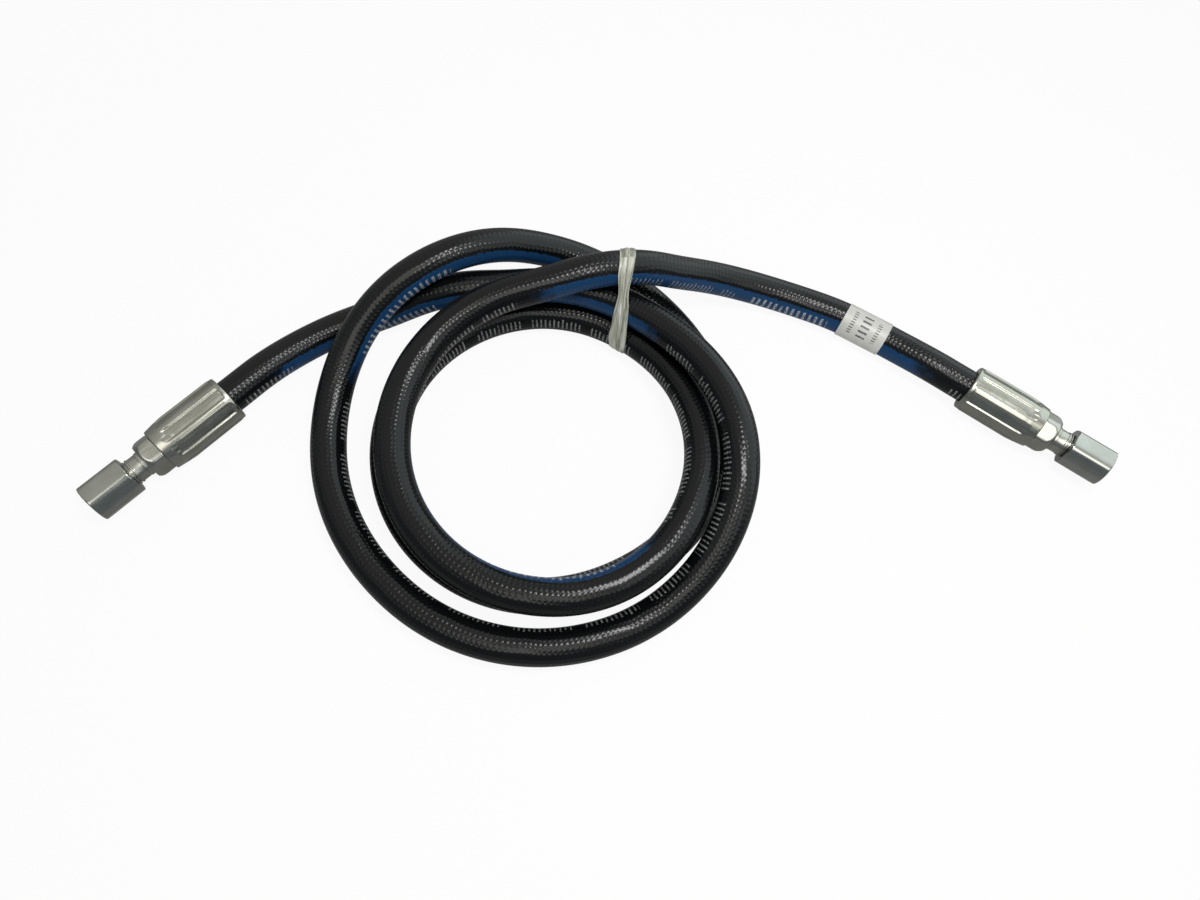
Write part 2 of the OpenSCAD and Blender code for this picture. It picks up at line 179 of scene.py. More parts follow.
class SwivelSizes(bpy.types.PropertyGroup):
    across_flats: bpy.props.FloatProperty(
        name="Across flats", description="Hexagons across their flats", default=0.01429, unit="LENGTH")
    hex_at: bpy.props.FloatProperty(
        name="Hexagon at", description="Where the stem's hexagon starts", default=0.0303, unit="LENGTH")
    hex_length: bpy.props.FloatProperty(
        name="Hexagon", description="Length of the stem's hexagon", default=0.006, unit="LENGTH")
    neck: bpy.props.FloatProperty(
        name="Neck", description="Diameter of the neck", default=0.0098, unit="LENGTH")
    neck_length: bpy.props.FloatProperty(
        name="Neck length", description="Length of the neck", default=0.006, unit="LENGTH")
    journal: bpy.props.FloatProperty(
        name="Journal", description="Diameter that the nut turns on", default=0.008, unit="LENGTH")
    nut_at: bpy.props.FloatProperty(
        name="Nut at", description="Where the nut starts", default=0.0426, unit="LENGTH")
    nut_length: bpy.props.FloatProperty(
        name="Nut", description="Length of the nut", default=0.016, unit="LENGTH")
    thread: bpy.props.FloatProperty(
        name="Thread bore", description="Bore inside the nut's thread", default=0.00986, unit="LENGTH")
    thread_pitch: bpy.props.FloatProperty(
        name="Thread pitch", description="Distance between two threads", default=0.00127, unit="LENGTH")
    dome: bpy.props.FloatProperty(
        name="Dome", description="Length over which the stem's hexagon is turned down",
        default=0.0042, unit="LENGTH")
    dome_end: bpy.props.FloatProperty(
        name="Dome end", description="Diameter of the turned end of the stem's hexagon",
        default=0.0132, unit="LENGTH")
    stem_turns: bpy.props.FloatVectorProperty(
        name="Stem turns", description="Turn of the left and the right hexagon", size=2,
        default=(math.radians(15), math.radians(2)), unit="ROTATION")
    nut_turns: bpy.props.FloatVectorProperty(
        name="Nut turns", description="Turn of the left and the right nut", size=2,
        default=(math.radians(33), math.radians(-27)), unit="ROTATION")
    stem_colour: bpy.props.FloatVectorProperty(
        name="Stem zinc", description="Colour of the stems' plating",
        default=(0.38, 0.38, 0.35), subtype="COLOR")
    nut_colour: bpy.props.FloatVectorProperty(
        name="Nut zinc", description="Colour of the nuts' plating",
        default=(0.375, 0.385, 0.365), subtype="COLOR")


class WrapSizes(bpy.types.PropertyGroup):
    tie_width: bpy.props.FloatProperty(
        name="Tie width", description="Width of the film tie", default=0.0058, unit="LENGTH")
    tie_waist: bpy.props.FloatProperty(
        name="Tie waist", description="Width where the tie is drawn together", default=0.0038, unit="LENGTH")
    tie_thickness: bpy.props.FloatProperty(
        name="Tie thickness", description="Thickness of the wound film", default=0.0003, unit="LENGTH")
    wrap_gap: bpy.props.FloatProperty(
        name="Wrap gap", description="Space between a wrapped piece and the hose",
        default=0.00015, unit="LENGTH")
    label_length: bpy.props.FloatProperty(
        name="Label", description="Length of the label", default=0.0185, unit="LENGTH")
    label_thickness: bpy.props.FloatProperty(
        name="Label thickness", description="Thickness of the label", default=0.0002, unit="LENGTH")
    film_colour: bpy.props.FloatVectorProperty(
        name="Film", description="Colour of the film tie", default=(0.56, 0.57, 0.48), subtype="COLOR")
    label_colour: bpy.props.FloatVectorProperty(
        name="Label colour", description="Colour of the label", default=(0.6, 0.6, 0.56), subtype="COLOR")
    print_colour: bpy.props.FloatVectorProperty(
        name="Label print", description="Colour of the strokes on the label", default=(0.07, 0.07, 0.075),
        subtype="COLOR")


class StudioSettings(bpy.types.PropertyGroup):
    key_power: bpy.props.FloatProperty(
        name="Overhead light", description="Power of the light over the coil, in watts", default=1.35)
    side_power: bpy.props.FloatProperty(
        name="Side light", description="Power of the light from the right, in watts", default=0.6)
    world_level: bpy.props.FloatProperty(
        name="World", description="Strength of the light from all round", default=0.36)


def mesh_object(name, points, faces, corners=None, sharp=35):
    """A mesh object from arrays of points and faces, with the UV of each corner of each face."""
    mesh = bpy.data.meshes.new(name)
    mesh.from_pydata(np.asarray(points).tolist(), [], [list(map(int, f)) for f in faces])
    if corners is not None:
        layer = mesh.uv_layers.new(name="UVMap")
        layer.data.foreach_set("uv", np.asarray(corners, dtype=np.float32).ravel())
    mesh.polygons.foreach_set("use_smooth", [True] * len(mesh.polygons))
    mesh.set_sharp_from_angle(angle=math.radians(sharp))
    mesh.validate()
    mesh.update()
    made = bpy.data.objects.new(name, mesh)
    bpy.context.scene.collection.objects.link(made)
    return made


def closed_grid(us, vs, clockwise=False):
    """Faces of a grid of points that closes on itself both ways, and the UV of each of their corners.

    us has a value for each ring and vs for each point of a ring, and one more each for where the grid closes.
    Whether the points run clockwise, as seen along the way from ring to ring, says which side is outside.
    """
    rings, segments = len(us) - 1, len(vs) - 1
    i, k = np.meshgrid(np.arange(rings), np.arange(segments), indexing="ij")
    spots = [(i, k), (i + 1, k), (i + 1, k + 1), (i, k + 1)]
    if clockwise:
        spots[1], spots[3] = spots[3], spots[1]
    faces = np.stack([a % rings * segments + b % segments for a, b in spots], axis=-1).reshape(-1, 4)
    corners = np.stack([np.stack([us[a], vs[b]], axis=-1) for a, b in spots], axis=-2).reshape(-1, 4, 2)
    return faces, corners


def unit_rows(rows):
    return rows / np.linalg.norm(rows, axis=-1, keepdims=True)


def length_run(points):
    """How far along a line of points each of them lies."""
    return np.concatenate([[0], np.cumsum(np.linalg.norm(np.diff(points, axis=0), axis=1))])


def ease(share):
    """A smooth rise from zero to one."""
    return (1 - np.cos(np.pi * np.clip(share, 0, 1))) / 2


def changed(start, changes, turns):
    """A size of the coil at each turn, from where it starts and its eased steps."""
    return start + sum(step * ease((turns - a) / (b - a)) for a, b, step in changes)


# ---- Route of the hose
def coil_points(turns):
    """Points of the hose's middle line in the coil."""
    turns = np.asarray(turns, dtype=float)
    radius = changed(START_RADIUS, RADIUS_CHANGES, turns)
    lift = changed(START_LIFT, LIFT_CHANGES, turns)
    way = np.radians(COIL_START - turns)
    height = bpy.context.scene.hose_sizes.diameter / 2 + lift
    x, y = COIL_CENTRE
    return np.stack([x + radius * np.cos(way), y + radius * np.sin(way), height], axis=-1)


def coil_ways(turns):
    turns = np.asarray(turns, dtype=float)
    return unit_rows(coil_points(turns + 1) - coil_points(turns - 1))


def on_axis(side, along):
    """The point of a fitting's axis this far from its ferrule's mouth, towards its nut."""
    way = math.radians(WAY[side])
    x, y = MOUTH[side]
    return (x + along * math.cos(way), y + along * math.sin(way), AXIS_Z)


def hose_stations():
    """The route's points, from inside the left ferrule to inside the right one."""
    sizes = bpy.context.scene.hose_sizes
    held = [HOSE_DEPTH * share for share in (1, 0.75, 0.5, 0.25, 0)] + [-STRAIGHT_RUN / 2, -STRAIGHT_RUN]
    half = sizes.diameter / 2
    left = [on_axis("left", along) for along in held] + [(x, y, z + half) for x, y, z in LEFT_ROUTE]
    right = [(x, y, z + half) for x, y, z in RIGHT_ROUTE] + [on_axis("right", along) for along in held[::-1]]
    before = coil_points([0]) - STRAIGHT_RUN * coil_ways([0])
    after = coil_points([COIL_TURN]) + STRAIGHT_RUN * coil_ways([COIL_TURN])
    coil = coil_points(np.arange(0, COIL_TURN + 1, RING_STEP))
    return np.concatenate([left, before, coil, after, right])


def smooth_line(stations, step, samples=8000):
    """A natural cubic line through the stations, in equal steps, with the length run at each point."""
    knots = length_run(stations)
    gaps = np.diff(knots)
    slopes = np.diff(stations, axis=0) / gaps[:, None]
    count = len(stations)
    system = np.eye(count)
    wanted = np.zeros((count, 3))
    for i in range(1, count - 1):
        system[i, i - 1:i + 2] = gaps[i - 1], 2 * (gaps[i - 1] + gaps[i]), gaps[i]
        wanted[i] = 6 * (slopes[i] - slopes[i - 1])
    bend = np.linalg.solve(system, wanted)
    fine = np.linspace(0, knots[-1], samples)
    k = np.clip(np.searchsorted(knots, fine, side="right") - 1, 0, count - 2)
    u, h = (fine - knots[k])[:, None], gaps[k][:, None]
    v = h - u
    line = (bend[k] * v**3 + bend[k + 1] * u**3) / (6 * h)
    line += (stations[k] / h - bend[k] * h / 6) * v + (stations[k + 1] / h - bend[k + 1] * h / 6) * u
    run = length_run(line)
    even = np.linspace(0, run[-1], round(run[-1] / step) + 1)
    return np.stack([np.interp(even, run, line[:, c]) for c in range(3)], axis=1), even


def print_roll(run, reach=5):
    """Turn of the printed line at each length run, in radians, softened over as many rings as it reaches."""
    at, turn = zip(*PRINT_TURN)
    soft = np.hanning(2 * reach + 1)
    wide = np.pad(np.radians(np.interp(run, at, turn)), reach, "edge")
    return np.convolve(wide, soft / soft.sum(), "valid")


def hose_layer(name, line, run, radius, bore, sides):
    """A closed tube along the line. U runs along the hose in metres and V round it from the printed line."""
    ways = unit_rows(np.gradient(line, axis=0))
    side = unit_rows(np.cross(ways, (0, 0, 1)))
    up = np.cross(side, ways)
    shares = np.arange(sides + 1) / sides
    angles = print_roll(run)[:, None] + np.pi + 2 * np.pi * shares[:-1]
    rays = np.cos(angles)[..., None] * side[:, None] + np.sin(angles)[..., None] * up[:, None]
    points = np.concatenate([(line[:, None] + r * rays).reshape(-1, 3) for r in (radius, bore)])
    # The grid's last row of faces would join the hose's two ends, so it is left out
    faces, corners = closed_grid(np.append(run, 0), (shares - 0.5) * 2 * np.pi * radius)
    outer, corners = faces[:-sides], corners[:-sides]
    shell = len(line) * sides
    inner = np.roll(outer[:, ::-1], 1, axis=1) + shell
    k = np.arange(sides)
    n = (k + 1) % sides
    far = shell - sides
    start = np.stack([k, n, shell + n, shell + k], axis=-1)
    end = np.stack([far + n, far + k, far + shell + k, far + shell + n], axis=-1)
    # Faces of the bore and the ends take this UV, which lies away from the print
    unprinted = 0.03
    plain = np.full((len(inner) + 2 * sides, 4, 2), unprinted)
    faces = np.concatenate([outer, inner, start, end])
    return mesh_object(name, points, faces, np.concatenate([corners, plain]))


# ---- Turned pieces of the fittings
def turned(name, side, rows, segments, shape, turn=0.0):
    """A closed ring-shaped body round a fitting's axis. U runs along its profile and V round it, in metres.

    rows are (along, radius, part), and shape gives a row's distances from the axis at each angle.
    """
    way = math.radians(WAY[side])
    forward = np.array([math.cos(way), math.sin(way), 0])
    across = np.array([-math.sin(way), math.cos(way), 0])
    down = np.array([0, 0, -1])
    origin = np.array([*MOUTH[side], AXIS_Z])
    shares = np.arange(segments + 1) / segments
    angles = 2 * np.pi * shares[:-1]
    rays = np.cos(angles + turn)[:, None] * down + np.sin(angles + turn)[:, None] * across
    rings = [
        origin + along * forward + shape(part, along, radius, angles)[:, None] * rays
        for along, radius, part in rows
    ]
    profile = np.array([row[:2] for row in rows])
    run = length_run(np.concatenate([profile, profile[:1]]))
    faces, corners = closed_grid(run, 2 * np.pi * shares * profile[:, 1].max(), clockwise=True)
    return mesh_object(name, np.concatenate(rings), faces, corners)


def filleted(corners, part, longest=0.0008, arc_points=5):
    """Rows along a profile of (along, radius, rounding), with each corner rounded and long parts divided."""
    # A rounding takes at most this share of the straight on each side of its corner
    most = 0.49
    rounded = []
    for i, (along, radius, rounding) in enumerate(corners):
        here = np.array([along, radius])
        if rounding <= 0 or i in (0, len(corners) - 1):
            rounded.append(here)
            continue
        back = np.array(corners[i - 1][:2]) - here
        ahead = np.array(corners[i + 1][:2]) - here
        reach = min(rounding, most * np.linalg.norm(back), most * np.linalg.norm(ahead))
        p = here + back / np.linalg.norm(back) * reach
        q = here + ahead / np.linalg.norm(ahead) * reach
        for s in np.linspace(0, 1, arc_points):
            rounded.append((1 - s)**2 * p + 2 * s * (1 - s) * here + s**2 * q)
    rows = [(*rounded[0], part)]
    for p, q in zip(rounded, rounded[1:]):
        pieces = max(1, math.ceil(np.linalg.norm(q - p) / longest))
        rows += [(*(p + (q - p) * s / pieces), part) for s in range(1, pieces + 1)]
    return rows


def hexagon(across_flats, angles, rounding=0.0004):
    """Distance from the axis to a hexagon with slightly rounded corners, corners at turn zero."""
    turn = np.mod(angles, np.pi / 3) - np.pi / 6
    flat = across_flats / 2 / np.cos(turn)
    corner = across_flats / 2 / math.cos(math.pi / 6) - rounding
    return smooth_least(flat, np.full_like(flat, corner), rounding)


def smooth_least(a, b, soft):
    """The smaller of two distances, with a soft change from one to the other."""
    share = np.clip(0.5 + 0.5 * (b - a) / soft, 0, 1)
    return b * (1 - share) + a * share - soft * share * (1 - share)


# ---- Materials
def new_material(name, base, roughness, metallic=0.0, specular=0.5):
    """A material, its node tree and its shader."""
    made = bpy.data.materials.new(name)
    made.use_nodes = True
    shader = made.node_tree.nodes["Principled BSDF"]
    shader.inputs["Base Color"].default_value = (*base, 1)
    shader.inputs["Roughness"].default_value = roughness
    shader.inputs["Metallic"].default_value = metallic
    shader.inputs["Specular IOR Level"].default_value = specular
    return made, made.node_tree, shader


def add(tree, kind, **settings):
    made = tree.nodes.new(kind)
    for key, value in settings.items():
        setattr(made, key, value)
    return made


def wire(tree, value, socket):
    """Sets a socket to a number, or links another node's socket to it."""
    if isinstance(value, bpy.types.NodeSocket):
        tree.links.new(value, socket)
    else:
        socket.default_value = value


def sums(tree, operation, *values):
    """A sum, product or other result of numbers and sockets."""
    made = add(tree, "ShaderNodeMath", operation=operation)
    for value, socket in zip(values, made.inputs):
        wire(tree, value, socket)
    return made.outputs[0]


def span(tree, value, low, high, out_low=0.0, out_high=1.0):
    """A smooth step of a value from one level to another."""
    made = add(tree, "ShaderNodeMapRange", interpolation_type="SMOOTHSTEP")
    for number, socket in zip((value, low, high, out_low, out_high), made.inputs):
        wire(tree, number, socket)
    return made.outputs[0]


def blended(tree, share, a, b):
    """A mix of two colours, all of the second at a share of one."""
    made = add(tree, "ShaderNodeMix", data_type="RGBA")
    # The node keeps its sockets for colours after those for numbers and vectors
    for value, place in ((share, 0), (a, 6), (b, 7)):
        wire(tree, value, made.inputs[place])
    return made.outputs[2]


def toned(colour, share):
    """A colour made lighter or darker by a share, as a shader takes it."""
    return (*(part * share for part in colour), 1)


def noise(tree, vector, scale, detail=2.0, rough=0.5):
    """Noise over places or a UV map in metres, whose scale is about its number of waves to the metre."""
    made = add(tree, "ShaderNodeTexNoise")
    tree.links.new(vector, made.inputs["Vector"])
    wire(tree, scale, made.inputs["Scale"])
    made.inputs["Detail"].default_value = detail
    made.inputs["Roughness"].default_value = rough
    return made.outputs[0]


def stretched(tree, vector, factors):
    """Places multiplied part by part, so that noise over them is drawn out."""
    made = add(tree, "ShaderNodeVectorMath", operation="MULTIPLY")
    tree.links.new(vector, made.inputs[0])
    made.inputs[1].default_value = factors
    return made.outputs[0]


def spot_on(tree):
    return add(tree, "ShaderNodeTexCoord").outputs["Object"]


def uv_on(tree):
    return add(tree, "ShaderNodeUVMap", uv_map="UVMap").outputs[0]


def split_uv(tree):
    """The UV map, and its two distances in metres."""
    uv = uv_on(tree)
    parts = add(tree, "ShaderNodeSeparateXYZ")
    tree.links.new(uv, parts.inputs[0])
    return uv, parts.outputs[0], parts.outputs[1]


def bumped(tree, shader, height, strength, distance):
    """Gives a shader bumps from a height of zero to one, which stands for this distance in metres."""
    made = add(tree, "ShaderNodeBump")
    made.inputs["Strength"].default_value = strength
    made.inputs["Distance"].default_value = distance
    wire(tree, height, made.inputs["Height"])
    tree.links.new(made.outputs[0], shader.inputs["Normal"])


def within(tree, value, runs, edge):
    """One inside any of the runs and zero outside, with a soft edge."""
    inside = 0.0
    for low, high in runs:
        rise = span(tree, value, low, low + edge)
        fall = span(tree, value, high - edge, high, 1.0, 0.0)
        inside = sums(tree, "MAXIMUM", inside, sums(tree, "MULTIPLY", rise, fall))
    return inside


def strokes(tree, along, off, pitch, width, half, edge=0.0001):
    """A row of strokes across a line, which halves them: one inside a stroke and zero outside."""
    away = sums(tree, "PINGPONG", along, pitch / 2)
    upright = span(tree, away, width / 2 - edge, width / 2 + edge, 1.0, 0.0)
    return sums(tree, "MULTIPLY", upright, span(tree, off, half - edge, half + edge, 1.0, 0.0))


def plating_marks():
    """Node group of plated steel: soft stains, waves, and fine lines drawn along the piece."""
    name = "plating_marks"
    if name in bpy.data.node_groups:
        return bpy.data.node_groups[name]
    tree = bpy.data.node_groups.new(name, "ShaderNodeTree")
    for label, default in (("Stain size", 130.0), ("Wave size", 320.0), ("Line size", 1.0)):
        socket = tree.interface.new_socket(label, in_out="INPUT", socket_type="NodeSocketFloat")
        socket.default_value = default
    for label in ("Stain", "Wave", "Lines"):
        tree.interface.new_socket(label, in_out="OUTPUT", socket_type="NodeSocketFloat")
    given, out = tree.nodes.new("NodeGroupInput"), tree.nodes.new("NodeGroupOutput")
    spot = spot_on(tree)
    stain = noise(tree, spot, given.outputs["Stain size"], 4, 0.6)
    tree.links.new(span(tree, stain, 0.3, 0.7), out.inputs["Stain"])
    tree.links.new(noise(tree, spot, given.outputs["Wave size"], 1), out.inputs["Wave"])
    # Noise that is far finer round the piece than along it, so that it reads as lines
    drawn = stretched(tree, uv_on(tree), (90.0, 1900.0, 1.0))
    tree.links.new(noise(tree, drawn, given.outputs["Line size"], 3, 0.6), out.inputs["Lines"])
    return tree


def zinc(name, base, roughness, stain_size=130.0, lines=0.5):
    """Plated steel, a little duller in its stains, and paler and rougher in its drawn lines."""
    if name in bpy.data.materials:
        return bpy.data.materials[name]
    made, tree, shader = new_material(name, base, roughness, metallic=1.0)
    marks = add(tree, "ShaderNodeGroup", node_tree=plating_marks())
    marks.inputs["Stain size"].default_value = stain_size
    red, green, blue = base
    dull = (red * 0.84, green * 0.84, blue * 0.8, 1)
    colour = blended(tree, marks.outputs["Stain"], (*base, 1), dull)
    tone = span(tree, marks.outputs["Lines"], 0.35, 0.65)
    colour = blended(tree, sums(tree, "MULTIPLY", tone, lines * 0.4), colour, toned(base, 1.35))
    tree.links.new(colour, shader.inputs["Base Color"])
    rough = span(tree, marks.outputs["Lines"], 0.3, 0.7, roughness * 0.8, roughness * 1.25)
    tree.links.new(rough, shader.inputs["Roughness"])
    height = sums(tree, "MULTIPLY_ADD", marks.outputs["Lines"], lines, marks.outputs["Wave"])
    bumped(tree, shader, height, 0.08, 0.0001)
    return made


def cloth_imprint(tree, uv, along, across, pitch):
    """Height of the knots that the wrapping cloth leaves in the rubber, deeper in some places."""
    sway = 0.003
    waver = sums(tree, "MULTIPLY", noise(tree, uv, 70.0), sway)
    knots = []
    for way in (along, across):
        turn = sums(tree, "MULTIPLY", sums(tree, "ADD", way, waver), 2 * math.pi / pitch)
        knots.append(sums(tree, "MULTIPLY_ADD", sums(tree, "COSINE", turn), 0.5, 0.5))
    weave = sums(tree, "MULTIPLY", *knots)
    deep = span(tree, noise(tree, uv, 55.0, 3), 0.35, 0.65, 0.65, 1.0)
    return sums(tree, "MULTIPLY", weave, deep)


def coloured_line(tree, uv, along, off, width):
    """Mask of the coloured line, with ragged edges and ends that fade out."""
    # How soft its edges and its ends are, and how far noise moves them
    edge, fade, edge_sway, end_sway = 0.0003, 0.012, 0.0016, 0.016
    ragged = sums(tree, "SUBTRACT", noise(tree, uv, 500.0, 3), 0.5)
    off = sums(tree, "ADD", off, sums(tree, "MULTIPLY", ragged, edge_sway))
    line = span(tree, off, width / 2 - edge, width / 2 + edge, 1.0, 0.0)
    clouds = sums(tree, "SUBTRACT", noise(tree, uv, 260.0, 3), 0.5)
    fading = sums(tree, "MULTIPLY_ADD", clouds, end_sway, along)
    return sums(tree, "MULTIPLY", line, within(tree, fading, COLOURED, fade))


def printed_strokes(tree, uv, along, off):
    """Mask of the worn ink: small strokes in words, and wide ones on the coloured line."""
    # Length of a word and the gap before the next, how faint words are, and how uneven their strokes
    word, word_gap, word_edge, faint, sway = 0.026, 0.0044, 0.0002, 0.6, 0.0024
    uneven = noise(tree, stretched(tree, uv, (420.0, 30.0, 1.0)), 1.0, 0)
    off = sums(tree, "MULTIPLY_ADD", uneven, sway, off)
    small = strokes(tree, along, off, *SMALL_STROKE)
    small = sums(tree, "MULTIPLY", small, within(tree, along, STROKED, 0.001))
    words = span(tree, sums(tree, "PINGPONG", along, word / 2), word_gap / 2, word_gap / 2 + word_edge)
    small = sums(tree, "MULTIPLY", small, sums(tree, "MULTIPLY", words, faint))
    wide = strokes(tree, along, off, *WIDE_STROKE)
    wide = sums(tree, "MULTIPLY", wide, within(tree, along, WIDE_STROKED, 0.0005))
    worn = span(tree, noise(tree, uv, 1100.0, 3), 0.36, 0.56, 0.15, 1.0)
    return sums(tree, "MULTIPLY", sums(tree, "MAXIMUM", small, wide), worn)


def wrapped_rubber():
    """Black rubber with the imprint of its wrapping cloth, a coloured line and printed strokes."""
    sizes = bpy.context.scene.hose_sizes
    grain_share, depth = 0.12, 0.00022
    made, tree, shader = new_material("wrapped_rubber", sizes.cover_colour, roughness=0.24, specular=0.27)
    uv, along, across = split_uv(tree)
    grain = noise(tree, uv, 2200.0, 3)
    imprint = cloth_imprint(tree, uv, along, across, sizes.cloth_pitch)
    bumped(tree, shader, sums(tree, "MULTIPLY_ADD", grain, grain_share, imprint), 0.5, depth)
    off = sums(tree, "ABSOLUTE", across)
    line = coloured_line(tree, uv, along, off, sizes.line_width)
    ink = printed_strokes(tree, uv, along, off)
    colour = blended(tree, line, (*sizes.cover_colour, 1), (*sizes.line_colour, 1))
    colour = blended(tree, ink, colour, (*sizes.ink_colour, 1))
    tree.links.new(colour, shader.inputs["Base Color"])
    tree.links.new(span(tree, grain, 0.3, 0.7, 0.19, 0.29), shader.inputs["Roughness"])
    return made


def plain_rubber(name, base):
    made, tree, shader = new_material(name, base, roughness=0.6)
    grain = noise(tree, spot_on(tree), 900.0, 3)
    tree.links.new(blended(tree, grain, toned(base, 0.7), toned(base, 1.3)), shader.inputs["Base Color"])
    bumped(tree, shader, grain, 0.2, 0.0001)
    return made


def stretch_film():
    """Clear film, wound and gathered: pale folds with darker streaks where the hose shows through."""
    base = tuple(bpy.context.scene.wrap_sizes.film_colour)
    made, tree, shader = new_material("stretch_film", base, roughness=0.25)
    uv = uv_on(tree)
    streaks = noise(tree, stretched(tree, uv, (70.0, 800.0, 1.0)), 1.0, 3, 0.55)
    clouds = noise(tree, uv, 260.0, 3)
    red, green, blue = base
    dark = (red * 0.3, green * 0.31, blue * 0.26, 1)
    pale = (*(min(0.85, part * 1.75) for part in base), 1)
    colour = blended(tree, span(tree, streaks, 0.36, 0.56), dark, (*base, 1))
    colour = blended(tree, span(tree, streaks, 0.56, 0.7), colour, pale)
    colour = blended(tree, span(tree, clouds, 0.35, 0.7, 0.0, 0.45), colour, toned(base, 0.75))
    tree.links.new(colour, shader.inputs["Base Color"])
    tree.links.new(span(tree, clouds, 0.3, 0.7, 0.16, 0.36), shader.inputs["Roughness"])
    bumped(tree, shader, streaks, 0.7, 0.0004)
    return made


def label_paper():
    """Coated paper with rows of plain strokes."""
    sizes = bpy.context.scene.wrap_sizes
    made, tree, shader = new_material("label_paper", sizes.label_colour, roughness=0.42)
    uv, along, across = split_uv(tree)
    round_it = sums(tree, "ABSOLUTE", across)
    edge = 0.0002
    ink = 0.0
    for at, half, pitch, width, reach in LABEL_ROWS:
        off = sums(tree, "ABSOLUTE", sums(tree, "SUBTRACT", along, at))
        row = strokes(tree, across, off, pitch, width, half)
        reached = span(tree, round_it, reach - edge, reach, 1.0, 0.0)
        ink = sums(tree, "MAXIMUM", ink, sums(tree, "MULTIPLY", row, reached))
    worn = span(tree, noise(tree, uv, 1500.0, 3), 0.36, 0.48, 0.5, 1.0)
    ink = sums(tree, "MULTIPLY", ink, worn)
    cloud = noise(tree, uv, 160.0, 3)
    plain = blended(tree, cloud, toned(sizes.label_colour, 0.9), toned(sizes.label_colour, 1.08))
    tree.links.new(blended(tree, ink, plain, (*sizes.print_colour, 1)), shader.inputs["Base Color"])
    tree.links.new(span(tree, cloud, 0.3, 0.7, 0.36, 0.48), shader.inputs["Roughness"])
    bumped(tree, shader, noise(tree, uv, 700.0, 2), 0.12, 0.0001)
    return made


# ---- The studio and the pieces, each with its operator
def shader_mix(tree, a, b, output):
    """Mixes two shaders or backgrounds into an output, and hands back the socket of their share."""
    mix = add(tree, "ShaderNodeMixShader")
    tree.links.new(a.outputs[0], mix.inputs[1])
    tree.links.new(b.outputs[0], mix.inputs[2])
    tree.links.new(mix.outputs[0], output.inputs["Surface"])
    return mix.inputs[0]


def seen_rays(tree):
    """Masks of the rays that the camera sends, and of those by which metal and glass see the studio."""
    path = add(tree, "ShaderNodeLightPath").outputs
    mirrored = sums(tree, "MAXIMUM", path["Is Glossy Ray"], path["Is Transmission Ray"])
    return path["Is Camera Ray"], mirrored


def facing(tree, way, towards, low, high, out_low, out_high):
    """A smooth step by how nearly a ray's way faces a direction."""
    product = add(tree, "ShaderNodeVectorMath", operation="DOT_PRODUCT")
    tree.links.new(way, product.inputs[0])
    product.inputs[1].default_value = Vector(towards).normalized()
    return span(tree, product.outputs["Value"], low, high, out_low, out_high)


def studio_world(level):
    """A white backdrop as the camera sees it, and a room as polished metal sees it."""
    made = bpy.data.worlds.new("studio")
    made.use_nodes = True
    tree = made.node_tree
    light = tree.nodes["Background"]
    light.inputs["Color"].default_value = (1, 1, 1, 1)
    light.inputs["Strength"].default_value = level
    # The room: a ceiling, a window on the right, a lamp overhead and a dim wall low down at the back
    way = add(tree, "ShaderNodeTexCoord").outputs["Generated"]
    ceiling = facing(tree, way, (0, 0.35, 0.94), 0.1, 0.9, 0.24, 0.72)
    window = facing(tree, way, (0.8, 0.45, 0.4), 0.5, 0.85, 0.0, 1.8)
    lamp = facing(tree, way, (-0.1, -0.45, 0.88), 0.93, 0.98, 0.0, 3.2)
    low_down = facing(tree, way, (0, 0, 1), 0.08, 0.3, 0.55, 0.0)
    wall = sums(tree, "MULTIPLY", low_down, facing(tree, way, (0, 1, 0), 0.0, 0.5, 0.0, 1.0))
    room = ceiling
    for part in (window, lamp, wall):
        room = sums(tree, "MAXIMUM", room, part)
    camera, mirrored = seen_rays(tree)
    seen = add(tree, "ShaderNodeBackground")
    # The room is cool where it is dim, warm under the ceiling and cool again at the window
    tint = blended(tree, span(tree, room, 0.25, 0.65), (0.82, 0.92, 1, 1), (1, 0.985, 0.93, 1))
    tint = blended(tree, span(tree, window, 0.7, 1.2), tint, (0.92, 1, 1, 1))
    tree.links.new(blended(tree, camera, tint, (1, 1, 1, 1)), seen.inputs["Color"])
    tree.links.new(sums(tree, "MAXIMUM", camera, room), seen.inputs["Strength"])
    share = shader_mix(tree, light, seen, tree.nodes["World Output"])
    tree.links.new(sums(tree, "MAXIMUM", camera, mirrored), share)
    return made


def paper_floor():
    """Paper that the camera sees as white and metal as dim, with the object's own shadow on it."""
    half, level = 1.5, -0.0002
    corners = [(-half, -half, level), (half, -half, level), (half, half, level), (-half, half, level)]
    made = mesh_object("floor", corners, [(0, 1, 2, 3)])
    material, tree, shader = new_material("floor_paper", (0.9, 0.9, 0.9), roughness=0.9)
    glow = add(tree, "ShaderNodeEmission")
    share = shader_mix(tree, shader, glow, tree.nodes["Material Output"])
    camera_share, mirrored_share = 0.93, 0.8
    white, dim = 1.0, 0.22
    camera, mirrored = seen_rays(tree)
    seen_dim = sums(tree, "MULTIPLY", mirrored, mirrored_share)
    tree.links.new(sums(tree, "MULTIPLY_ADD", camera, camera_share, seen_dim), share)
    tree.links.new(sums(tree, "MULTIPLY_ADD", camera, white - dim, dim), glow.inputs["Strength"])
    made.data.materials.append(material)
    return made


